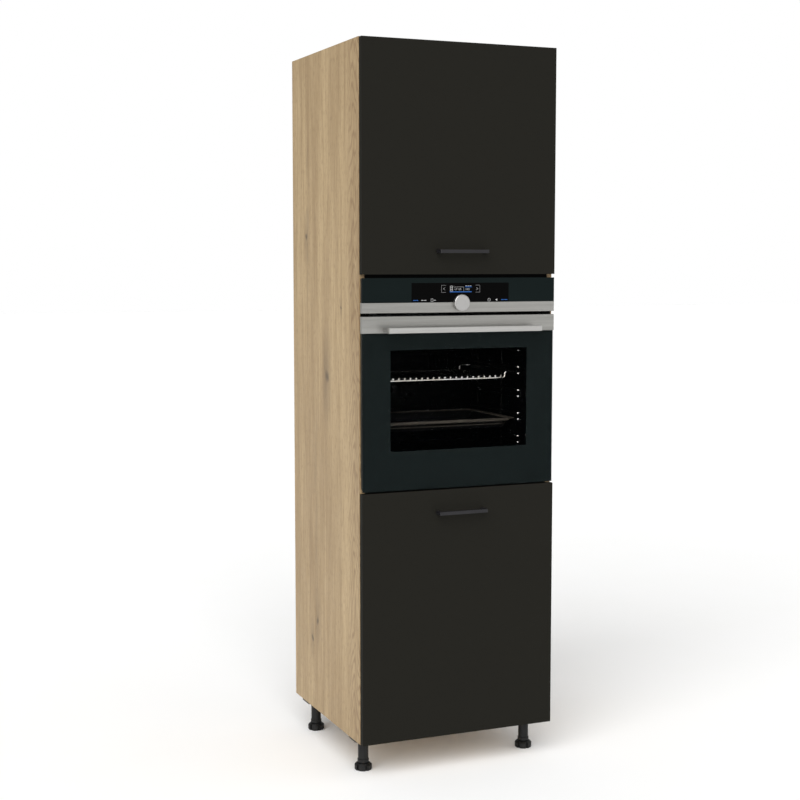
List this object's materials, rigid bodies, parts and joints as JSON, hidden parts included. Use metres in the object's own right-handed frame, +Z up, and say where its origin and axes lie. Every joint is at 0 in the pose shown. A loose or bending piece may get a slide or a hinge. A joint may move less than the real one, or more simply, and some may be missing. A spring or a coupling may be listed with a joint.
{
  "type": "tall oven housing cabinet",
  "caption": "Tall oak-finish kitchen cabinet on screw feet with a lift-up front above, a built-in oven with a drop-down door, and a side-hung front below.",
  "frame": {"origin": "middle of the footprint on the floor, under the feet at their shortest setting", "axes": "+Z up, -Y out of the front, +X to the right as seen from the front"},
  "size_m": [0.6, 0.625, 2.07],
  "materials": {
    "oak_board": "oak decor laminate, matte",
    "hardboard": "smooth hardboard",
    "matte_front": "matte dark lacquer on board",
    "black_metal": "black powder coat",
    "zinc": "die-cast zinc",
    "plated_steel": "nickel plated",
    "beech": "raw beech",
    "black_plastic": "moulded, fine grain",
    "dark_glass": "tinted polished glass",
    "clear_glass": "polished glass",
    "display_black": "display cover",
    "glass_print": "black print",
    "steel_trim": "brushed along its length",
    "enamel": "speckled enamel",
    "dark_sheet": "black coated steel",
    "zinc_sheet": "galvanised sheet",
    "gasket": "silicone",
    "chrome_wire": "chromed wire",
    "tray_enamel": "dark enamel",
    "heater_steel": "oxidised steel tube"
  },
  "bodies": {
    "carcass": {"back_boards": "hardboard", "baking_tray": "tray_enamel", "bottom_panel": "oak_board", "cam_bolts": "plated_steel", "cam_locks": "zinc", "control_box": "black_plastic", "control_glass": "dark_glass", "control_trim": "steel_trim", "display_panel": "display_black", "dowels": "beech", "fan_cover": "dark_sheet", "grill_element": "heater_steel", "leg_sockets": "black_plastic", "lower_hinge_arms": "plated_steel", "lower_shelf": "oak_board", "niche_top_shelf": "oak_board", "oven_casing": "zinc_sheet", "oven_door_gasket": "gasket", "oven_fixing_screws": "plated_steel", "oven_fixing_strips": "dark_sheet", "oven_hinge_brackets": "dark_sheet", "oven_lamp": "clear_glass", "oven_muffle": "enamel", "oven_shelf": "oak_board", "oven_terminal_box": "black_plastic", "shelf_ladders": "chrome_wire", "shelf_pins": "plated_steel", "side_panel_left": "oak_board", "side_panel_right": "oak_board", "strut_side_plates": "plated_steel", "top_panel": "oak_board", "upper_hinge_arms": "plated_steel", "upper_shelf": "oak_board", "wall_brackets": "plated_steel", "wire_rack": "chrome_wire"},
    "flap": {"upper_front": "matte_front", "upper_handle": "black_metal", "upper_hinge_cups": "plated_steel", "strut_front_plates": "plated_steel"},
    "flap_links": {"upper_hinge_links": "plated_steel"},
    "strut_barrels": {"strut_cylinders": "black_metal"},
    "strut_pistons": {"strut_rods": "plated_steel"},
    "door": {"lower_front": "matte_front", "lower_handle": "black_metal", "lower_hinge_cups": "plated_steel"},
    "door_links": {"lower_hinge_links": "plated_steel"},
    "oven_door": {"oven_door_glass": "dark_glass", "oven_glass_mask": "glass_print", "oven_door_trim": "steel_trim", "oven_door_stiles": "dark_sheet", "oven_door_rails": "dark_sheet", "oven_inner_glass": "clear_glass", "oven_handle_bar": "steel_trim", "oven_handle_posts": "steel_trim"},
    "knob": {"control_knob": "steel_trim", "knob_shaft": "plated_steel"},
    "foot_front_left": {"leg_foot_front_left": "black_plastic"},
    "foot_front_right": {"leg_foot_front_right": "black_plastic"},
    "foot_rear_left": {"leg_foot_rear_left": "black_plastic"},
    "foot_rear_right": {"leg_foot_rear_right": "black_plastic"}
  },
  "joints": [
    {"name": "flap_lift", "type": "hinge", "parent": "carcass", "child": "flap", "pos_m": [0, -0.2595, 2.0625], "axis": [-1, 0, 0], "range_deg": [0, 95]},
    {"name": "flap_link_turn", "type": "hinge", "parent": "carcass", "child": "flap_links", "pos_m": [0, -0.25517, 2.04297], "axis": [1, 0, 0], "range_deg": [0, 25.11]},
    {"name": "strut_swing", "type": "hinge", "parent": "carcass", "child": "strut_barrels", "pos_m": [0, -0.0615, 1.8865], "axis": [1, 0, 0], "range_deg": [0, 5.82]},
    {"name": "strut_stroke", "type": "slide", "parent": "strut_barrels", "child": "strut_pistons", "axis": [0, -0.8104, 0.5858], "range_m": [0, 0.0924]},
    {"name": "door_swing", "type": "hinge", "parent": "carcass", "child": "door", "pos_m": [0.293, -0.2595, 0.4595], "axis": [0, 0, 1], "range_deg": [0, 95]},
    {"name": "door_link_turn", "type": "hinge", "parent": "carcass", "child": "door_links", "pos_m": [0.27347, -0.25517, 0.4595], "axis": [0, 0, -1], "range_deg": [0, 25.11]},
    {"name": "oven_door_drop", "type": "hinge", "parent": "carcass", "child": "oven_door", "pos_m": [0, -0.2595, 0.83], "axis": [1, 0, 0], "range_deg": [0, 90], "stiffness_Nm_per_rad": 8, "springref_deg": -14.32},
    {"name": "knob_turn", "type": "hinge", "parent": "carcass", "child": "knob", "pos_m": [0, -0.2675, 1.3463], "axis": [0, 1, 0], "continuous": true},
    {"name": "foot_screw_front_left", "type": "slide", "parent": "carcass", "child": "foot_front_left", "axis": [0, 0, -1], "range_m": [0, 0.05]},
    {"name": "foot_screw_front_right", "type": "slide", "parent": "carcass", "child": "foot_front_right", "axis": [0, 0, -1], "range_m": [0, 0.05]},
    {"name": "foot_screw_rear_left", "type": "slide", "parent": "carcass", "child": "foot_rear_left", "axis": [0, 0, -1], "range_m": [0, 0.05]},
    {"name": "foot_screw_rear_right", "type": "slide", "parent": "carcass", "child": "foot_rear_right", "axis": [0, 0, -1], "range_m": [0, 0.05]}
  ],
  "couplings": [
    {"joint": "flap_link_turn", "follows": "flap_lift", "ratio": 0.26325},
    {"joint": "strut_swing", "follows": "flap_lift", "ratio": 0.060185},
    {"joint": "strut_stroke", "follows": "flap_lift", "m_per_rad": 0.055409},
    {"joint": "door_link_turn", "follows": "door_swing", "ratio": 0.26325}
  ]
}
